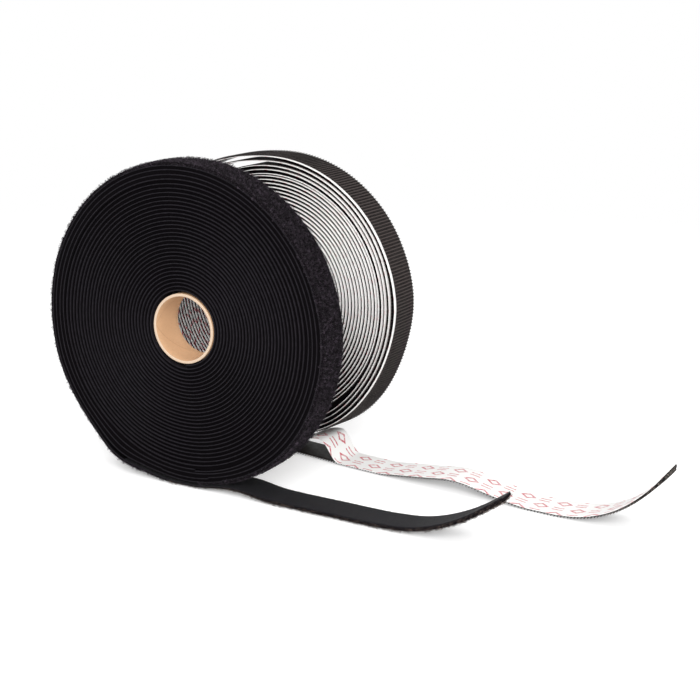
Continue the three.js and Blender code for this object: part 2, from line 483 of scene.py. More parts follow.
def randomFloat(seed, low=0.0, high=1.0):
    node = addNode("FunctionNodeRandomValue", {"Seed": seed}, data_type="FLOAT")
    feed(node.inputs[2], low)
    feed(node.inputs[3], high)
    return node.outputs[1]


def endStrands(strands, toneSeed, material):
    endTree(store(strands, "tone", randomFloat(toneSeed), domain="INSTANCE"), material)


def growPiece(name, base, tree, sizes):
    # the tree's result as a piece of its own, in place of the base it grows on
    modifier = base.modifiers.new(tree.name, "NODES")
    modifier.node_group = tree
    for item in tree.interface.items_tree:
        if item.in_out == "INPUT" and item.name in sizes:
            modifier[item.identifier] = sizes[item.name]
    depsgraph = bpy.context.evaluated_depsgraph_get()
    mesh = bpy.data.meshes.new_from_object(
        base.evaluated_get(depsgraph), preserve_all_data_layers=True, depsgraph=depsgraph
    )
    base.modifiers.remove(modifier)
    mesh.name = name
    piece = linkPiece(name, mesh)
    baseMesh = base.data
    bpy.data.objects.remove(base)
    bpy.data.meshes.remove(baseMesh)
    return piece


# Card cores: a wound-board tube with rounded rims

coreTube = {
    "bore": 38.1 * mm, "wall": 1.65 * mm, "width": 22.0 * mm, "rim": 0.35 * mm, "segments": 128,
    "outOfRound": 0.004, "outAngle": 0.7,  # a card tube is never quite round
}


def makeCore(name, axis, near, sizes):
    inner = sizes["bore"] / 2
    outer = inner + sizes["wall"]
    rim = sizes["rim"]
    soft = rim * cornerShare
    far = sizes["width"]
    segments = sizes["segments"]
    profile = [
        (inner, rim), (inner + soft, soft), (inner + rim, 0), (outer - rim, 0), (outer - soft, soft),
        (outer, rim), (outer, far / 2), (outer, far - rim), (outer - soft, far - soft), (outer - rim, far),
        (inner + rim, far), (inner + soft, far - soft), (inner, far - rim), (inner, far * 0.75),
        (inner, far / 2), (inner, far * 0.25),
    ]
    count = len(profile)
    points, run, across, depth = [], [], [], []
    for step in range(segments):
        angle = fullTurn * step / segments
        swing = 1 + sizes["outOfRound"] * math.sin(2 * angle + sizes["outAngle"])
        for radius, y in profile:
            x = axis.x + radius * swing * math.cos(angle)
            points.append((x, near + y, axis.z + radius * swing * math.sin(angle)))
            run.append(inner * min(angle, fullTurn - angle))
            across.append(y)
            depth.append(radius - inner)
    faces, marks = [], []
    for step in range(segments):
        low = step * count
        high = (step + 1) % segments * count
        for k in range(count):
            after = (k + 1) % count
            faces.append((low + k, low + after, high + after, high + k))
            marks.append(int(k < 5 or 7 <= k < 12))  # the rims and their rounded edges
    mesh = newMesh(name, points, faces)
    mesh.materials.append(finishes["coreCard"])
    mesh.materials.append(finishes["coreRim"])
    mesh.polygons.foreach_set("material_index", marks)
    setPointValues(mesh, run=run, across=across, depth=depth)
    faceOutward(mesh)
    return linkPiece(name, mesh)


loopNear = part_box("loop_winding")[0][1]
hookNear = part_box("hook_winding")[0][1]
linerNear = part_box("hook_liner_winding")[0][1]
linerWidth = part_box("hook_liner_winding")[1][1] - linerNear
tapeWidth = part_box("loop_winding")[1][1] - loopNear
loopOffCentre = 1.5 * mm
loopCoreTube = makeCore("loopCoreTube", loopAxis + Vector((loopOffCentre, 0, 0)), loopNear, coreTube)
hookCoreTube = makeCore("hookCoreTube", hookAxis, hookNear, coreTube)
report(loopCoreTube, hookCoreTube)


# Windings: one flat spiral strip for each layer, looser towards the outside

opening = 7.0  # the power of the share wound that the loosening follows
calming = 13.0  # the power that ends the lumps towards the last turn
centring = 1.5  # the power of the share left that the core's offset follows
lumpDrift = 0.8  # how far the lumps shift from the first turn to the last


def windingTree():
    floats = (
        "Turns", "Start Angle", "Start Radius", "Gain", "Loosening", "Lift", "Thickness", "Width", "Rounding",
        "Wobble", "Sway", "Swell", "Limit", "Off Centre", "Draw In",
    )
    tree, given = newTree("tapeWinding", floats, Steps="Int", Centre="Vector", Material="Material")
    last = times(given["Turns"], given["Steps"])
    places = result("GeometryNodeMeshLine", {"Count": plus(last, 1.0)})
    share = ratio(result("GeometryNodeInputIndex"), last)
    wound = times(share, given["Turns"])
    angle = timesPlus(wound, fullTurn, given["Start Angle"])
    across = calc("COSINE", angle)
    up = sine(angle)
    tight = times(share, minus(1.0, given["Loosening"]))
    grown = timesPlus(power(share, opening), given["Loosening"], tight)
    loose = timesPlus(grown, given["Gain"], given["Start Radius"])
    ending = calc("MAXIMUM", plus(minus(wound, given["Turns"]), 1.0), 0.0)
    even = minus(loose, times(ending, given["Draw In"]))
    lump = noise(vector(across, up, times(share, lumpDrift)), scale=1.5, detail=1.0)
    pushed = times(minus(lump, 0.5), given["Wobble"])
    calm = minus(share, power(share, calming))  # no lumps at either end
    lifted = plus(timesPlus(pushed, calm, even), given["Lift"])
    lean = noise(vector(across, up, wound), scale=0.9, detail=1.0)
    swayed = times(minus(lean, 0.5), given["Sway"])
    left = power(minus(1.0, share), centring)
    aside = timesPlus(lifted, across, times(left, given["Off Centre"]))
    place = vector(aside, times(lifted, up), swayed)
    bent = result("GeometryNodeSetPosition", {"Geometry": places, "Position": place})
    path = result("GeometryNodeMeshToCurve", {"Mesh": bent})
    upright = result("GeometryNodeSetCurveNormal", {"Curve": path}, mode="Z_UP")
    length = addNode("GeometryNodeSplineParameter").outputs["Length"]
    measured = store(store(upright, "run", length), "share", share)
    outline = {"Width": given["Thickness"], "Height": given["Width"]}
    section = result("GeometryNodeCurvePrimitiveQuadrilateral", outline)
    rounded = result("GeometryNodeFilletCurve", {
        "Curve": section, "Count": 2, "Radius": given["Rounding"],
    }, mode="POLY")
    corner = result("GeometryNodeInputPosition")
    spot = addNode("ShaderNodeSeparateXYZ", {"Vector": corner}).outputs
    edged = store(rounded, "across", plus(spot["Y"], times(given["Width"], 0.5)))
    sided = store(edged, "inward", calc("LESS_THAN", spot["X"], 0.0))
    swept = result("GeometryNodeCurveToMesh", {"Curve": measured, "Profile Curve": sided, "Fill Caps": True})
    # the outer side swells to fill the room that the loosening leaves, and on the last turn up to the limit
    flatPlace = vectorCalc("MULTIPLY", {0: result("GeometryNodeInputPosition"), 1: (1, 1, 0)})[0]
    outward = vectorCalc("NORMALIZE", {0: flatPlace})[0]
    radius = vectorCalc("LENGTH", {0: flatPlace})["Value"]
    wherever = stored("share")
    steep = times(power(wherever, opening - 1), times(given["Loosening"], opening))
    looser = times(steep, ratio(given["Gain"], given["Turns"]))
    swell = times(looser, given["Swell"])
    lastTurn = minus(1.0, ratio(1.0, given["Turns"]))
    swells = calc("GREATER_THAN", given["Swell"], 0.0)
    onLast = times(calc("GREATER_THAN", wherever, lastTurn), swells)
    room = minus(minus(given["Limit"], radius), swell)
    outside = minus(1.0, stored("inward"))
    push = times(timesPlus(room, onLast, swell), outside)
    offset = vectorCalc("SCALE", {0: outward, "Scale": push})[0]
    filled = result("GeometryNodeSetPosition", {"Geometry": swept, "Offset": offset})
    stood = result("GeometryNodeTransform", {
        "Geometry": filled, "Translation": given["Centre"], "Rotation": (math.pi / 2, 0, 0),
    })
    endTree(stood, given["Material"])
    return tree


winding = windingTree()


def windLayer(name, roll, layer, centre):
    base = linkPiece(name + "Base", bpy.data.meshes.new(name + "Base"))
    lift = layer["Lift"] + layer["Thickness"] / 2
    piece = growPiece(name, base, winding, {**roll, **layer, "Lift": lift, "Centre": centre})
    faceOutward(piece.data)
    return piece


loopRoll = {
    "Turns": 28.0, "Steps": 90, "Start Angle": math.radians(-85.0), "Start Radius": 21.3 * mm,
    "Gain": 63.2 * mm, "Loosening": 0.03, "Wobble": 2.0 * mm, "Sway": 1.1 * mm, "Limit": 85.2 * mm,
    "Off Centre": loopOffCentre, "Draw In": 0.0,
}
loopGroundLayer = {
    "Lift": 0.0, "Thickness": 0.6 * mm, "Width": tapeWidth, "Rounding": 0.16 * mm,
    "Swell": 0.0, "Material": finishes["loopEdge"],
}
# the pile between the ground's edges wears the painted-shade bed, darker than the pile itself, for the shade
# down between the turns
loopPileLayer = {
    "Lift": 0.57 * mm, "Thickness": 1.7 * mm, "Width": tapeWidth - 1.6 * mm, "Rounding": 0.3 * mm,
    "Swell": 1.0, "Material": finishes["paintedShadeBed"],
}
loopCentre = (loopAxis.x, loopNear + tapeWidth / 2, loopAxis.z)
loopWindingTape = windLayer("loopWindingTape", loopRoll, loopGroundLayer, loopCentre)
loopWindingPile = windLayer("loopWindingPile", loopRoll, loopPileLayer, loopCentre)
report(loopWindingTape, loopWindingPile)

hookRoll = {
    "Turns": 25.0, "Steps": 90, "Start Angle": math.radians(-160.0), "Start Radius": 21.15 * mm,
    "Gain": 56.85 * mm, "Loosening": 0.0, "Wobble": 1.4 * mm, "Sway": 0.7 * mm, "Limit": 77.75 * mm,
    "Off Centre": 0.0, "Draw In": 1.2 * mm,
}
hookGroundLayer = {
    "Lift": 0.22 * mm, "Thickness": 0.65 * mm, "Width": tapeWidth, "Rounding": 0.12 * mm,
    "Swell": 0.0, "Material": finishes["hookGround"],
}
# the hooks between the turns wear the painted-shade bed, not the hooks' own finish: a near-black layer that
# stands for the black hooks and for the shade in the gaps between the liner's turns
hookHookLayer = {
    "Lift": 0.85 * mm, "Thickness": 1.33 * mm, "Width": tapeWidth + 0.2 * mm, "Rounding": 0.2 * mm,
    "Swell": 0.8, "Material": finishes["paintedShadeBed"],
}
hookLinerLayer = {
    "Lift": -0.06 * mm, "Thickness": 0.26 * mm, "Width": linerWidth, "Rounding": 0.05 * mm,
    "Swell": 0.0, "Material": finishes["liner"],
}
# what shows there is partly the hooks and partly painted shade
hooksNearer = 0.6 * mm  # the hooks show between the wound turns of the liner
hookCentre = (hookAxis.x, hookNear + tapeWidth / 2, hookAxis.z)
hookWindingTape = windLayer("hookWindingTape", hookRoll, hookGroundLayer, hookCentre)
hooksCentre = (hookAxis.x, hookNear + tapeWidth / 2 - hooksNearer, hookAxis.z)
hookWindingHooks = windLayer("hookWindingHooks", hookRoll, hookHookLayer, hooksCentre)
linerCentre = (hookAxis.x, linerNear + linerWidth / 2, hookAxis.z)
hookWindingLiner = windLayer("hookWindingLiner", hookRoll, hookLinerLayer, linerCentre)
report(hookWindingTape, hookWindingHooks, hookWindingLiner)


# Tails: the loose outer turns and the run out along the table, on the routes of the solids

def polar(axis, radius, angle):
    return np.stack([
        axis.x + radius * np.cos(np.radians(angle)), axis.z + radius * np.sin(np.radians(angle)),
    ], axis=-1)


def smoothStep(value):
    held = np.clip(value, 0, 1)
    return held * held * (3 - 2 * held)


def rise(angles, height, peak, spread):
    return height * np.exp(-(((angles - peak) / spread) ** 2))


def routeCurve(knots, steps):
    ends = np.vstack([2 * knots[0] - knots[1], knots, 2 * knots[-1] - knots[-2]])
    points = []
    for p0, p1, p2, p3 in zip(ends, ends[1:], ends[2:], ends[3:]):
        d0, d1, d2 = (np.linalg.norm(b - a) ** 0.5 for a, b in ((p0, p1), (p1, p2), (p2, p3)))
        t1 = d1 * ((p1 - p0) / d0 - (p2 - p0) / (d0 + d1) + (p2 - p1) / d1)
        t2 = d1 * ((p2 - p1) / d1 - (p3 - p1) / (d1 + d2) + (p3 - p2) / d2)
        s = np.linspace(0, 1, steps, endpoint=False)[:, None]
        points.append(p1 + s * t1 + s**2 * (3 * (p2 - p1) - 2 * t1 - t2) + s**3 * (2 * (p1 - p2) + t1 + t2))
    points.append(knots[-1:])
    return np.vstack(points)


def distances(line):
    return np.concatenate([[0], np.cumsum(np.linalg.norm(np.diff(line, axis=0), axis=1))])


def evenly(line, step):
    length = distances(line)
    places = np.linspace(0, length[-1], int(round(length[-1] / step)) + 1)
    return np.stack([np.interp(places, length, line[:, k]) for k in (0, 1)], axis=-1)


def softened(line, reach):
    kernel = np.hanning(2 * reach + 3)[1:-1]
    kernel /= kernel.sum()
    padded = np.vstack([
        2 * line[0] - line[reach:0:-1], line, 2 * line[-1] - line[-2:-reach - 2:-1],
    ])
    return np.stack([np.convolve(padded[:, k], kernel, mode="valid") for k in (0, 1)], axis=-1)


def inwardNormals(line):
    along = np.gradient(line, axis=0)
    along /= np.linalg.norm(along, axis=1)[:, None]
    return np.stack([-along[:, 1], along[:, 0]], axis=-1)


def ripple(run, length, seed):
    draw = np.random.default_rng(seed)
    total = np.zeros_like(run)
    for wave in (1.0, 0.57, 0.31, 0.17):
        total += wave * np.sin(fullTurn * run / (length * wave) + draw.uniform(0, fullTurn))
    return total / 2


cutReach = 40 * mm
rippleLength = 0.06


def tapeSection(low, high, width, edge):
    middle = edge * cornerShare
    inside = [
        (high - edge, 0), (high - middle, middle), (high, edge), (high, width * 0.1), (high, width * 0.35),
        (high, width * 0.65), (high, width * 0.9), (high, width - edge), (high - middle, width - middle),
        (high - edge, width),
    ]
    outside = [(low + high - offset, width - y) for offset, y in inside]
    return np.array(inside + outside)


def sweptPoints(line, offsets, sides, near, drift, cut):
    # the far edge is drawn back along the line towards its end, for an end cut at a slant
    run = distances(line)
    inward = inwardNormals(line)
    back = cut * np.clip(1 - (run[-1] - run) / cutReach, 0, 1)
    places = run[:, None] - back[:, None] * (sides / sides.max())[None, :]
    x, z, nx, nz, shift = (np.interp(places, run, values) for values in (*line.T, *inward.T, drift))
    return np.stack([x + nx * offsets, near + shift + sides[None, :], z + nz * offsets], axis=-1)


def sweepStrip(name, line, section, near, drift, lift, runs=None, edgeRipple=0.0, seed=1, cut=0.0):
    runs = distances(line) if runs is None else runs
    rows, count = len(line), len(section)
    waver = ripple(runs, rippleLength, seed) * edgeRipple
    offsets = section[None, :, 0] + lift
    points = sweptPoints(line, offsets, section[:, 1], near, drift + waver, cut).reshape(-1, 3)
    mesh = newMesh(name, points.tolist(), tubeFaces(rows, count))
    inside = (section[:, 0] > section[:, 0].mean()).astype(float)
    setPointValues(
        mesh, run=np.repeat(runs, count), across=np.tile(section[:, 1], rows), inward=np.tile(inside, rows)
    )
    faceOutward(mesh)
    return linkPiece(name, mesh)


def dress(piece, *materials):
    for material in materials:
        piece.data.materials.append(material)


def dressMarked(piece, plain, marked, chosen):
    dress(piece, plain, marked)
    marks = [int(chosen(list(face.vertices))) for face in piece.data.polygons]
    piece.data.polygons.foreach_set("material_index", marks)


routeSteps = 24
easing = 6  # points to either side


def tailRoute(wrap, sizes):
    # the loose turns and then the run along the table, evened, eased and kept above it
    knots = np.array([(sizes["flatEnd"], 0)] + sizes["route"]) * mm
    line = evenly(np.vstack([wrap, routeCurve(knots, routeSteps)]), sizes["step"])
    eased = softened(line, easing)
    eased[:, 1] = np.maximum(eased[:, 1], 0)
    return eased


def aroundAxis(line, axis, firstAngle):
    # how far each point is from the axis, and its angle in degrees, counted on from turn to turn
    away = line - np.array([axis.x, axis.z])
    turned = np.degrees(np.unwrap(np.arctan2(away[:, 1], away[:, 0])))
    return np.linalg.norm(away, axis=1), turned + (firstAngle - turned[0])


lapGap = 0.05 * mm
thinnestLap = 0.1 * mm


def turnBelow(radius, turned, last, drop, roll):
    # how far out the turn below each point reaches, and the winding below the first turn
    below = np.interp(turned - 360, turned[:last], radius[:last]) - drop
    return np.where(turned < turned[0] + 360, roll["Limit"] + lapGap, below)


loopTail = {
    "firstAngle": -1165.0, "wrapStart": -85.0, "samples": 1600, "inner": 92.07 * mm, "thickness": 2.3 * mm,
    "growth": 1.18 * mm, "pitch": 2.24 * mm, "swell": 1.6 * mm, "swellReach": 45.0,
    "closeFrom": 300.0, "closeReach": 60.0,
    "passShares": (1.0, 0.75, 0.5, 0.25),  # how far the slack reaches into the turns below
    "bulge": 1.1 * mm, "bulgeAngle": 207.0, "bulgeSpread": 30.0,
    "sag": 4.0 * mm, "sagAngle": 240.0, "sagSpread": 11.0, "flatEnd": 8.0, "slant": 1.3,
    "route": [
        (30, 2.8), (40, 2.7), (56, 0.6), (72, 0), (129, 0), (152, 2.1), (170, 7.7), (186, 15.8), (206.4, 30),
    ],
    "ground": (1.62 * mm, 2.25 * mm), "bed": (1.0 * mm, 1.66 * mm), "step": 1.0 * mm,
    "stillWound": 300, "touch": 0.3 * mm,  # points before the tail can reach the table, and its height there
    "pressedUnder": 6 * mm, "pressedAt": 6 * mm, "pressedSpread": 28 * mm,
    "depth": 0.75 * mm, "depthReach": 90 * mm, "lean": 0.55, "leanFrom": 30 * mm, "leanReach": 30 * mm,
    "cut": 6.4 * mm, "lapEnd": 246.0, "edgeRipple": 0.25 * mm, "bedInset": 0.25 * mm, "lapInset": 0.3 * mm,
    "edge": 0.3 * mm, "lapInto": 0.1 * mm, "lapTaper": (0.1 * mm, 45 * mm),
}


def loopTailLine(sizes):
    def outer(angle):
        turned = angle - sizes["wrapStart"]
        growth = np.where(turned < 0, sizes["pitch"], sizes["growth"]) * turned / 360
        radius = sizes["inner"] + sizes["thickness"] + growth
        for turn, share in enumerate(sizes["passShares"]):
            past = turned + 360 * turn
            opened = smoothStep(past / sizes["swellReach"])
            closed = smoothStep((past - sizes["closeFrom"]) / sizes["closeReach"]) if turn else 0.0
            radius = radius + sizes["swell"] * share**2 * opened * (1 - closed)
        return radius

    flatAngle = math.degrees(math.acos(loopAxis.z / outer(270)))
    angles = np.linspace(sizes["firstAngle"], 270 - flatAngle, sizes["samples"])
    slack = np.zeros_like(angles)
    for turn, share in enumerate(sizes["passShares"]):
        for part in ("sag", "bulge"):
            middle, spread = sizes[part + "Angle"], sizes[part + "Spread"]
            slack += rise(angles + 360 * turn, sizes[part] * share, middle, spread)
    return tailRoute(polar(loopAxis, outer(angles) + slack, angles), sizes)


loopLine = loopTailLine(loopTail)
loopRun = distances(loopLine)
loopRadius, loopTurned = aroundAxis(loopLine, loopAxis, loopTail["firstAngle"])
turnStart = int(np.argmax(loopTurned >= loopTail["wrapStart"]))
loopIndex = np.arange(len(loopLine))
leavesRoll = int(np.argmax((loopIndex > loopTail["stillWound"]) & (loopLine[:, 1] < loopTail["touch"])))
pastRoll = loopIndex > leavesRoll
pastFlat = np.clip(loopLine[:, 0] - loopTail["flatEnd"] * mm, 0, None)
loopDrift = np.where(pastRoll, -pastFlat * math.tan(math.radians(loopTail["slant"])), 0.0)
pressed = rise(loopLine[:, 0], 1.0, loopTail["pressedAt"], loopTail["pressedSpread"])
pressed *= loopLine[:, 1] < loopTail["pressedUnder"]
loopDepth = loopTail["depth"] * smoothStep(loopRun / loopTail["depthReach"]) * (1 - pressed)
onTail = pastRoll * smoothStep((loopLine[:, 0] - loopTail["leanFrom"]) / loopTail["leanReach"])


def loopLift(sides):
    # how far the pile lifts the ground, more along the near edge of the tail
    lean = loopTail["lean"] * onTail[:, None] * (1 - 2 * sides[None, :] / tapeWidth)
    return loopDepth[:, None] * (1 + lean)


groundSection = tapeSection(*loopTail["ground"], tapeWidth, edge=0.16 * mm)
bedSection = tapeSection(*loopTail["bed"], tapeWidth - 2 * loopTail["bedInset"], edge=0.25 * mm)
bedInside = (bedSection[:, 0] > bedSection[:, 0].mean()).astype(float)
loopTailTape = sweepStrip(
    "loopTailTape", loopLine, groundSection, loopNear, loopDrift, edgeRipple=loopTail["edgeRipple"], seed=3,
    cut=loopTail["cut"], lift=loopLift(groundSection[:, 1]),
)
fromMiddle = np.abs(pointValues(loopTailTape, "across") - tapeWidth / 2)
dressMarked(
    loopTailTape, finishes["loopBack"], finishes["loopEdge"],
    lambda corners: fromMiddle[corners].min() > tapeWidth / 2 - loopTail["edge"],
)
loopTailBed = sweepStrip(
    "loopTailBed", loopLine[turnStart:], bedSection, loopNear + loopTail["bedInset"], loopDrift[turnStart:],
    runs=loopRun[turnStart:], edgeRipple=loopTail["edgeRipple"], seed=3, cut=loopTail["cut"],
    lift=(loopLift(bedSection[:, 1]) * bedInside[None, :])[turnStart:],
)
dress(loopTailBed, finishes["loopBed"])


def makeTurnLap(name, axis, near, width, top, inside, taper):
    # the pile or hooks of the turn below, which fill the room under a loose turn and run out at its ends;
    # dressed in the painted-shade bed, the filling is also painted shade for the gap under the loose turn
    centre = np.array([axis.x, axis.z])
    away = top - centre
    radius = np.linalg.norm(away, axis=1)
    run = distances(top)
    begun = smoothStep((run + thinnestLap) / taper[0])
    full = begun * smoothStep((run[-1] - run + thinnestLap) / taper[1])
    depth = np.maximum((radius - inside) * full, thinnestLap)
    low = centre + away / radius[:, None] * (radius - depth)[:, None]
    points = []
    for share, y in ((0.0, 0.0), (0.0, width), (1.0, width), (1.0, 0.0)):
        spot = top + (low - top) * share
        points.append(np.stack([spot[:, 0], np.full(len(top), near + y), spot[:, 1]], axis=-1))
    rows = np.stack(points, axis=1).reshape(-1, 3)
    mesh = newMesh(name, rows.tolist(), tubeFaces(len(top), 4))
    faceOutward(mesh)
    return linkPiece(name, mesh)


lapEnd = int(np.argmax(loopTurned > loopTail["lapEnd"]))
loopDrop = loopTail["ground"][0] + loopTail["depth"] - lapGap
loopBelow = turnBelow(loopRadius, loopTurned, leavesRoll, loopDrop, loopRoll)
loopLapLift = loopTail["ground"][1] - loopTail["lapInto"] + loopDepth
loopLapTop = loopLine + inwardNormals(loopLine) * loopLapLift[:, None]
loopTurnLap = makeTurnLap(
    "loopTurnLap", loopAxis, loopNear + loopTail["lapInset"], tapeWidth - 2 * loopTail["lapInset"],
    loopLapTop[:lapEnd], loopBelow[:lapEnd], loopTail["lapTaper"],
)
dress(loopTurnLap, finishes["paintedShadeBed"])
report(loopTailTape, loopTailBed, loopTurnLap)

hookTail = {
    "firstAngle": -880.0, "wrapStart": -160.0, "bottom": 630.0, "samples": 1900, "inner": 82.322 * mm,
    "stack": 2.35 * mm, "pitch": 2.8 * mm, "slack": 9.0 * mm, "opens": 92.0, "full": 150.0, "closes": 275.0,
    "flatEnd": 92.0, "slant": 6.2, "bow": 4.6 * mm,
    "bulge": 3.0 * mm, "bulgeAngle": 292.0, "bulgeSpread": 26.0,
    "bulgeShares": (1.0, 1.15, 1.2, 0.95), "drawnOut": 1.2 * mm,
    "settle": 0.55 * mm, "settleFrom": 430.0, "settleReach": 110.0,
    "kink": 0.9 * mm, "kinkAngle": 363.0, "kinkSpread": 14.0,
    "twist": 2.3 * mm, "twistAngle": 313.0, "twistSpread": 22.0,
    "tipTwist": 0.9 * mm, "tipFrom": 214.0 * mm, "tipReach": 34.0 * mm,
    "route": [
        (118, 3.6), (144, 6.6), (168, 2.9), (190, 0), (208, 0),
        (228, 2.9), (246, 10.8), (262, 24), (278, 43.7),
    ],
    "ground": (1.15 * mm, 1.6 * mm), "step": 1.0 * mm, "touch": 0.2 * mm,
    "linerAt": 1.7 * mm, "linerThickness": 0.24 * mm,
    "archPeak": 46.0 * mm, "archRise": 40.0 * mm, "archFall": 14.5 * mm, "archHeight": 12.4 * mm,
    "archSkew": 2.6 * mm, "archTwist": 1.2 * mm, "linerShift": 1.5 * mm,
    "shiftFrom": 64.0 * mm, "shiftTo": 114.0 * mm, "cut": 11.0 * mm, "lapInset": 1.0 * mm,
    "lapEase": 0.03 * mm, "innerTaper": (0.1 * mm, 15 * mm), "outerTaper": (25 * mm, 15 * mm),
}


def hookTailLine(sizes):
    angles = np.linspace(sizes["firstAngle"], sizes["bottom"], sizes["samples"])
    second = angles > sizes["opens"] + 360
    turned = np.where(second, angles - 360, angles)
    opened = smoothStep((turned - sizes["opens"]) / (sizes["full"] - sizes["opens"]))
    closed = smoothStep((turned - sizes["full"]) / (sizes["closes"] - sizes["full"]))
    off = sizes["slack"] * opened * np.where(second, 1.0, 1.0 - closed)
    for turn, share in enumerate(sizes["bulgeShares"]):
        off += rise(angles + 360 * turn, sizes["bulge"] * share, sizes["bulgeAngle"], sizes["bulgeSpread"])
    off += sizes["drawnOut"] * np.clip(1 - (angles - sizes["firstAngle"]) / 360, 0, 1)
    off += rise(angles, sizes["kink"], sizes["kinkAngle"], sizes["kinkSpread"])
    off -= sizes["settle"] * (1 - smoothStep((angles - sizes["settleFrom"]) / sizes["settleReach"]))
    radius = sizes["inner"] + sizes["stack"] + sizes["pitch"] * (angles - sizes["wrapStart"]) / 360 + off
    return tailRoute(polar(hookAxis, radius, angles), sizes)


hookLine = hookTailLine(hookTail)
hookRun = distances(hookLine)
hookRadius, hookTurned = aroundAxis(hookLine, hookAxis, hookTail["firstAngle"])
turnLength = int(np.argmax(hookLine[:, 1] < hookTail["touch"]))
pastTurns = np.arange(len(hookLine)) >= turnLength
onTable = pastTurns & (hookLine[:, 0] > hookAxis.x)
alongTable = np.where(onTable, hookLine[:, 0] - hookAxis.x, 0.0)
hookDrift = -alongTable * math.tan(math.radians(hookTail["slant"]))
hookDrift -= hookTail["bow"] * np.sin(np.pi * alongTable / alongTable[-1])
hookTwist = -rise(hookTurned, hookTail["twist"], hookTail["twistAngle"], hookTail["twistSpread"])
towardsTip = (hookLine[:, 0] - hookTail["tipFrom"]) / hookTail["tipReach"]
hookTwist -= onTable * hookTail["tipTwist"] * smoothStep(towardsTip)
hookSection = tapeSection(*hookTail["ground"], tapeWidth, edge=0.14 * mm)
hookTailTape = sweepStrip(
    "hookTailTape", hookLine, hookSection, hookNear, hookDrift, edgeRipple=0.12 * mm, seed=5,
    cut=hookTail["cut"], lift=hookTwist[:, None] * hookSection[None, :, 1] / tapeWidth,
)
inward = pointValues(hookTailTape, "inward")
dressMarked(
    hookTailTape, finishes["hookGround"], finishes["adhesive"], lambda corners: inward[corners].all()
)
linerLine = hookLine + inwardNormals(hookLine) * hookTail["linerAt"]
linerSection = tapeSection(0.0, hookTail["linerThickness"], linerWidth, edge=0.03 * mm)


def archRise(x, raised, sides, sizes):
    # the fold where the liner has buckled off the tape, steeper on its outer side
    across = sides[None, :] / linerWidth
    away = x[:, None] - sizes["archPeak"] - sizes["archSkew"] * across
    beside = np.clip(away / np.where(away < 0, sizes["archRise"], sizes["archFall"]), -1, 1)
    height = sizes["archHeight"] + sizes["archTwist"] * across
    return raised[:, None] * height * (1 + np.cos(np.pi * beside)) / 2


linerRise = archRise(hookLine[:, 0], onTable, linerSection[:, 1], hookTail)
pastFold = (hookLine[:, 0] - hookTail["shiftFrom"]) / (hookTail["shiftTo"] - hookTail["shiftFrom"])
linerDrift = hookDrift + onTable * hookTail["linerShift"] * smoothStep(pastFold)
linerLift = linerRise + hookTwist[:, None] * linerSection[None, :, 1] / tapeWidth
linerRuns = distances(linerLine + inwardNormals(linerLine) * linerRise.mean(axis=1)[:, None])
hinge = np.array(joints["liner_peel"]["pos_m"])[[0, 2]]
hingeAt = int(np.argmin(np.linalg.norm(linerLine - hinge, axis=1)))
hookTailLiner = sweepStrip(
    "hookTailLiner", linerLine[:hingeAt + 1], linerSection, linerNear, linerDrift[:hingeAt + 1],
    runs=linerRuns[:hingeAt + 1], edgeRipple=0.15 * mm, seed=7, lift=linerLift[:hingeAt + 1],
)
hookLinerEnd = sweepStrip(
    "hookLinerEnd", linerLine[hingeAt:], linerSection, linerNear, linerDrift[hingeAt:],
    runs=linerRuns[hingeAt:], cut=hookTail["cut"], lift=linerLift[hingeAt:],
)
dress(hookTailLiner, finishes["liner"])
dress(hookLinerEnd, finishes["liner"])
linerTop = hookTail["linerAt"] + hookTail["linerThickness"]
lapTop = hookLine + inwardNormals(hookLine) * (linerTop + hookTail["lapEase"])
hookDrop = hookTail["ground"][0] + hookTail["lapEase"]
below = turnBelow(hookRadius, hookTurned, turnLength, hookDrop, hookRoll)


def makeHookLap(name, first, last, taper):
    inside = (hookTurned >= first) & (hookTurned <= last) & ~pastTurns
    inset = hookTail["lapInset"]
    return makeTurnLap(
        name, hookAxis, hookNear + inset, tapeWidth - 2 * inset, lapTop[inside], below[inside], taper
    )


hookInnerLap = makeHookLap("hookInnerLap", hookTail["firstAngle"], hookTail["opens"], hookTail["innerTaper"])
hookOuterLap = makeHookLap(
    "hookOuterLap", hookTail["closes"], hookTail["opens"] + 360, hookTail["outerTaper"]
)
dress(hookInnerLap, finishes["paintedShadeBed"])
dress(hookOuterLap, finishes["paintedShadeBed"])
report(hookTailTape, hookTailLiner, hookLinerEnd, hookInnerLap, hookOuterLap)


# Pile: small loops stood on the bed of the loop tape's outer side

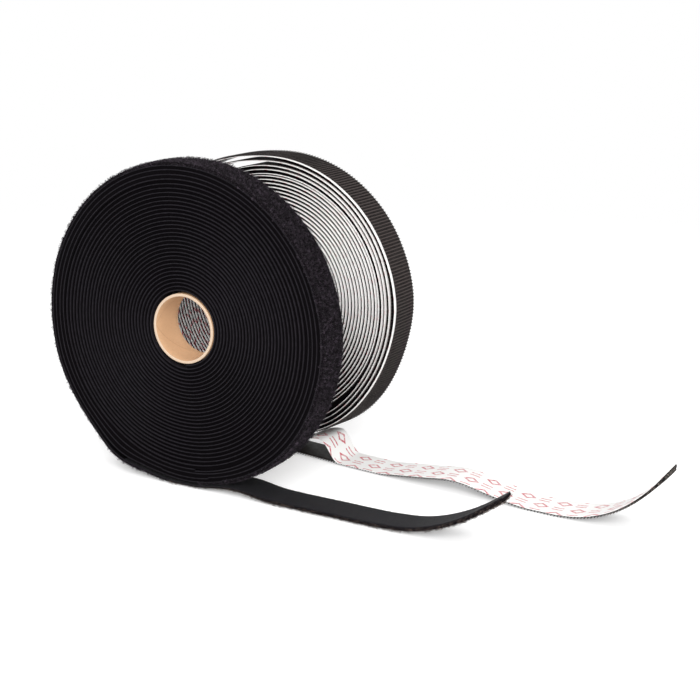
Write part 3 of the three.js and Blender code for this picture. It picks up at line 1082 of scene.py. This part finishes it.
def pileTree():
    floats = ("Density", "Height", "Spread", "Strand", "Lean")
    tree, given = newTree("pileLoops", floats, Seed="Int", Material="Material")
    places = addNode("GeometryNodeDistributePointsOnFaces", {
        "Mesh": given["Geometry"], "Density": given["Density"], "Seed": given["Seed"],
    }).outputs
    half = times(given["Spread"], 0.5)
    arch = result("GeometryNodeCurveQuadraticBezier", {
        "Resolution": 3, "Start": vector(times(half, -1.0), 0.0, 0.0),
        "Middle": vector(0.0, 0.0, times(given["Height"], 2.0)),
        "End": vector(half, 0.0, 0.0),
    })
    side = times(given["Strand"], 0.5)
    flat = result("GeometryNodeCurvePrimitiveLine", {
        "Start": vector(0.0, times(side, -1.0), 0.0), "End": vector(0.0, side, 0.0),
    })
    strand = result("GeometryNodeCurveToMesh", {"Curve": arch, "Profile Curve": flat})
    lean = given["Lean"]
    tilt = times(lean, -1.0)
    turn = addNode("FunctionNodeRandomValue", data_type="FLOAT_VECTOR")
    feed(turn.inputs[0], vector(tilt, tilt, 0.0))
    feed(turn.inputs[1], vector(lean, lean, fullTurn))
    feed(turn.inputs["Seed"], given["Seed"])
    aimed = result("FunctionNodeRotateRotation", {
        "Rotation": places["Rotation"], "Rotate By": turn.outputs[0],
    }, rotation_space="LOCAL")
    stood = result("GeometryNodeInstanceOnPoints", {
        "Points": places["Points"], "Instance": strand, "Rotation": aimed,
        "Scale": randomFloat(seed=11, low=0.5, high=1.4),
    })
    endStrands(stood, toneSeed=23, material=given["Material"])
    return tree


pile = pileTree()
pileStrands = {
    "Density": 2.1e6, "Height": 1.25 * mm, "Spread": 1.0 * mm, "Strand": 0.13 * mm, "Lean": 0.7, "Seed": 4,
    "Material": finishes["loopFibre"],
}

pileSeat = {"outer": 1.15 * mm, "edgeDepth": 1.8 * mm, "inset": 0.3 * mm}


def pileBase(name, line, depth, drift, cut, sizes):
    # the outer side and both edges of the bed
    width = tapeWidth - 2 * sizes["inset"]
    sides = np.array([0.0, 0.0, width, width])
    edge = np.array([1.0, 0.0, 0.0, 1.0])
    offsets = sizes["outer"] + edge[None, :] * (sizes["edgeDepth"] - sizes["outer"] + depth)
    points = sweptPoints(line, offsets, sides, loopNear + sizes["inset"], drift, cut)
    faces = [
        (4 * i + k, 4 * i + k + 1, 4 * i + k + 5, 4 * i + k + 4)
        for i in range(len(line) - 1) for k in range(3)
    ]
    return linkPiece(name, newMesh(name, points.reshape(-1, 3).tolist(), faces))


pileDepth = loopLift(np.array([0.0, 0.0, tapeWidth, tapeWidth]))


def growPile(name, first, last, cut, sizes):
    base = pileBase(
        name + "Base", loopLine[first:last], pileDepth[first:last], loopDrift[first:last], cut, pileSeat
    )
    piece = growPiece(name, base, pile, sizes)
    places = np.zeros(len(piece.data.vertices) * 3, dtype=np.float32)
    piece.data.vertices.foreach_get("co", places)
    places[2::3] = np.maximum(places[2::3], 0.02 * mm)  # strands under the tape lie on the table
    piece.data.vertices.foreach_set("co", places)
    return piece


loopTurnPile = growPile("loopTurnPile", turnStart, leavesRoll + 1, 0.0, pileStrands)
tailStrands = {**pileStrands, "Material": finishes["loopFringe"]}
loopTailPile = growPile("loopTailPile", leavesRoll, len(loopLine), loopTail["cut"], tailStrands)
report(loopTurnPile, loopTailPile)


# Hooks: rows across the tape, with every second hook turned a little

crook = {"rise": 1.45, "over": 1.25, "tip": 0.55}  # shares of a hook's height


def hookTree():
    tree, given = newTree("tapeHooks", ("Height", "Reach", "Wire"), Seed="Int", Material="Material")
    height = given["Height"]
    reach = given["Reach"]
    bend = result("GeometryNodeCurvePrimitiveBezierSegment", {
        "Resolution": 4, "Start": vector(0.0, 0.0, 0.0),
        "Start Handle": vector(0.0, 0.0, times(height, crook["rise"])),
        "End Handle": vector(reach, 0.0, times(height, crook["over"])),
        "End": vector(reach, 0.0, times(height, crook["tip"])),
    }, mode="POSITION")
    wire = result("GeometryNodeCurvePrimitiveCircle", {"Resolution": 3, "Radius": given["Wire"]})
    hook = result("GeometryNodeCurveToMesh", {"Curve": bend, "Profile Curve": wire})
    loose = randomFloat(given["Seed"], low=-0.25, high=0.25)
    spin = vector(0.0, 0.0, plus(stored("facing"), loose))
    aimed = result("FunctionNodeRotateRotation", {
        "Rotation": stored("lay", "FLOAT_VECTOR"), "Rotate By": spin,
    }, rotation_space="LOCAL")
    stood = result("GeometryNodeInstanceOnPoints", {
        "Points": given["Geometry"], "Instance": hook, "Rotation": aimed,
    })
    endStrands(stood, toneSeed=31, material=given["Material"])
    return tree


hooks = hookTree()
hookRows = {
    "row": 2.05 * mm, "columns": 24, "selvage": 0.4 * mm, "base": 1.2 * mm, "toe": 0.5, "bare": 1.4 * mm,
    "turnLength": 600 * mm,  # of the outer turn, the part that can be seen
}
hookShape = {
    "Height": 0.9 * mm, "Reach": 0.55 * mm, "Wire": 0.16 * mm, "Seed": 9, "Material": finishes["hookWire"],
}


def growHooks(name, first, last, cut, rows, sizes):
    line = hookLine[first:last]
    run = distances(line)
    stations = np.arange(0, run[-1] - rows["row"] / 2, rows["row"])
    inward = inwardNormals(line)
    at = [np.interp(stations, run, values) for values in (
        line[:, 0], line[:, 1], inward[:, 0], inward[:, 1], hookDrift[first:last], hookTwist[first:last],
    )]
    offsets = np.linspace(rows["selvage"], tapeWidth - rows["selvage"], rows["columns"])
    points, lays, facing = [], [], []
    for left, x, z, nx, nz, drift, twist in zip(run[-1] - stations, *at):
        for column, y in enumerate(offsets):
            if cut and left < rows["bare"] + cut * y / tapeWidth:
                continue
            base = rows["base"] + twist * y / tapeWidth
            points.append((x + nx * base, hookNear + drift + y, z + nz * base))
            lays.append((0.0, math.atan2(-nx, -nz), 0.0))
            facing.append(0.0 if column % 2 else rows["toe"])
    mesh = newMesh(name + "Base", points, [])
    layer = mesh.attributes.new("lay", "FLOAT_VECTOR", "POINT")
    layer.data.foreach_set("vector", np.array(lays, dtype=np.float32).ravel())
    setPointValues(mesh, facing=facing)
    return growPiece(name, linkPiece(name + "Base", mesh), hooks, sizes)


outerTurn = int(np.argmax(hookRun > hookRun[turnLength] - hookRows["turnLength"]))
turnHooks = {**hookShape, "Height": 0.65 * mm}
hookTurnHooks = growHooks("hookTurnHooks", outerTurn, turnLength, 0.0, hookRows, turnHooks)
# the tail's hooks wear the fringe finish, whose rare pale hooks are painted glints
tailHooks = {**hookShape, "Height": 1.0 * mm, "Material": finishes["hookGlintFringe"]}
hookTailHooks = growHooks("hookTailHooks", turnLength, len(hookLine), hookTail["cut"], hookRows, tailHooks)
report(hookTurnHooks, hookTailHooks)


# Bodies: what each piece moves with

def place(body, slot, *pieces):
    for piece in pieces:
        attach(piece, body)


place("loop_roll", "core_card", loopCoreTube)
place("loop_roll", "loop_fabric", loopWindingTape, loopWindingPile)
place("loop_tail", "loop_fabric", loopTailTape, loopTailBed, loopTurnLap, loopTurnPile, loopTailPile)
place("hook_roll", "core_card", hookCoreTube)
place("hook_roll", "hook_fabric", hookWindingTape, hookWindingHooks)
place("hook_roll", "liner_paper", hookWindingLiner)
place("hook_tail", "hook_fabric", hookTailTape, hookTurnHooks, hookTailHooks, hookInnerLap, hookOuterLap)
place("hook_tail", "liner_paper", hookTailLiner)
place("liner_end", "liner_paper", hookLinerEnd)
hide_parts("loop_core")
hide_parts("loop_winding")
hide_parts("loop_tail")
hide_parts("hook_core")
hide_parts("hook_winding")
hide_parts("hook_liner_winding")
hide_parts("hook_tail")
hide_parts("hook_tail_liner")
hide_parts("hook_liner_end")


# Strips: the length of each strip along its route, printed

def declareStrip(piece, width, under, *others):
    length = float(np.ptp(pointValues(piece, "run")))
    print(f"{piece.name} is {length:.3f} m long")


declareStrip(loopWindingTape, tapeWidth, loopCoreTube, loopWindingPile)
declareStrip(loopTailTape, tapeWidth, loopWindingPile, loopTailBed, loopTurnLap, loopTurnPile, loopTailPile)
declareStrip(hookWindingTape, tapeWidth, hookCoreTube, hookWindingHooks)
declareStrip(hookWindingLiner, linerWidth, hookWindingTape)
declareStrip(
    hookTailTape, tapeWidth, hookWindingHooks, hookTurnHooks, hookTailHooks, hookInnerLap, hookOuterLap
)
declareStrip(hookTailLiner, linerWidth, hookTailTape)
declareStrip(hookLinerEnd, linerWidth, hookTailTape)


# Floor and light

studio = {
    "floorColour": (0.93, 0.93, 0.93), "floorRadius": 2.0, "floorDrop": 0.05 * mm,
    "fadeFrom": 0.45, "fadeTo": 1.1, "lift": 0.3, "worldLight": 0.7,
    "lamps": [
        {
            "name": "topLight", "place": (-0.1, -0.3, 1.3), "aim": (0.05, 0.04, 0.08),
            "size": 1.6, "power": 4.0,
        },
        {
            "name": "frontLight", "place": (0.75, -1.0, 0.75), "aim": (0.06, 0.05, 0.09),
            "size": 0.8, "power": 17.0,
        },
    ],
}


def makeFloor(sizes):
    reach = sizes["floorRadius"]
    corners = [(-reach, -reach, 0), (reach, -reach, 0), (reach, reach, 0), (-reach, reach, 0)]
    floor = linkPiece("paleFloor", newMesh("paleFloor", corners, [(0, 1, 2, 3)]))
    floor.location.z = -sizes["floorDrop"]
    material = newMaterial("paleFloor", sizes["floorColour"], Roughness=0.9, Specular_IOR_Level=0.0)
    away = vectorCalc("LENGTH", {0: objectPlace()})["Value"]
    fade = result("ShaderNodeMapRange", {
        "Value": away, "From Min": sizes["fadeFrom"], "From Max": sizes["fadeTo"],
    }, interpolation_type="SMOOTHSTEP")
    seen = addNode("ShaderNodeLightPath").outputs["Is Camera Ray"]
    glow = result("ShaderNodeEmission", {"Strength": times(seen, sizes["lift"])})
    lifted = result("ShaderNodeAddShader", {0: building["shader"].outputs[0], 1: glow})
    clear = result("ShaderNodeBsdfTransparent")
    mixed = result("ShaderNodeMixShader", {0: fade, 1: lifted, 2: clear})
    feed(building["tree"].nodes["Material Output"].inputs["Surface"], mixed)
    floor.data.materials.append(material)


def makeWorld(sizes):
    world = bpy.data.worlds.new("whiteRoom")
    world.use_nodes = True
    scene.world = world
    building["tree"] = world.node_tree
    sky = world.node_tree.nodes["Background"].inputs
    feed(sky["Color"], (1, 1, 1, 1))
    path = addNode("ShaderNodeLightPath").outputs
    seen = calc("MAXIMUM", path["Is Camera Ray"], path["Is Transmission Ray"])
    feed(sky["Strength"], timesPlus(seen, 1.0 - sizes["worldLight"], sizes["worldLight"]))


def makeLamp(sizes):
    data = bpy.data.lights.new(sizes["name"], "AREA")
    data.shape = "DISK"
    data.size = sizes["size"]
    data.energy = sizes["power"]
    aim(linkPiece(sizes["name"], data), sizes["place"], sizes["aim"])


makeFloor(studio)
makeWorld(studio)
for lampSizes in studio["lamps"]:
    makeLamp(lampSizes)
print("floor, world and lamps set")
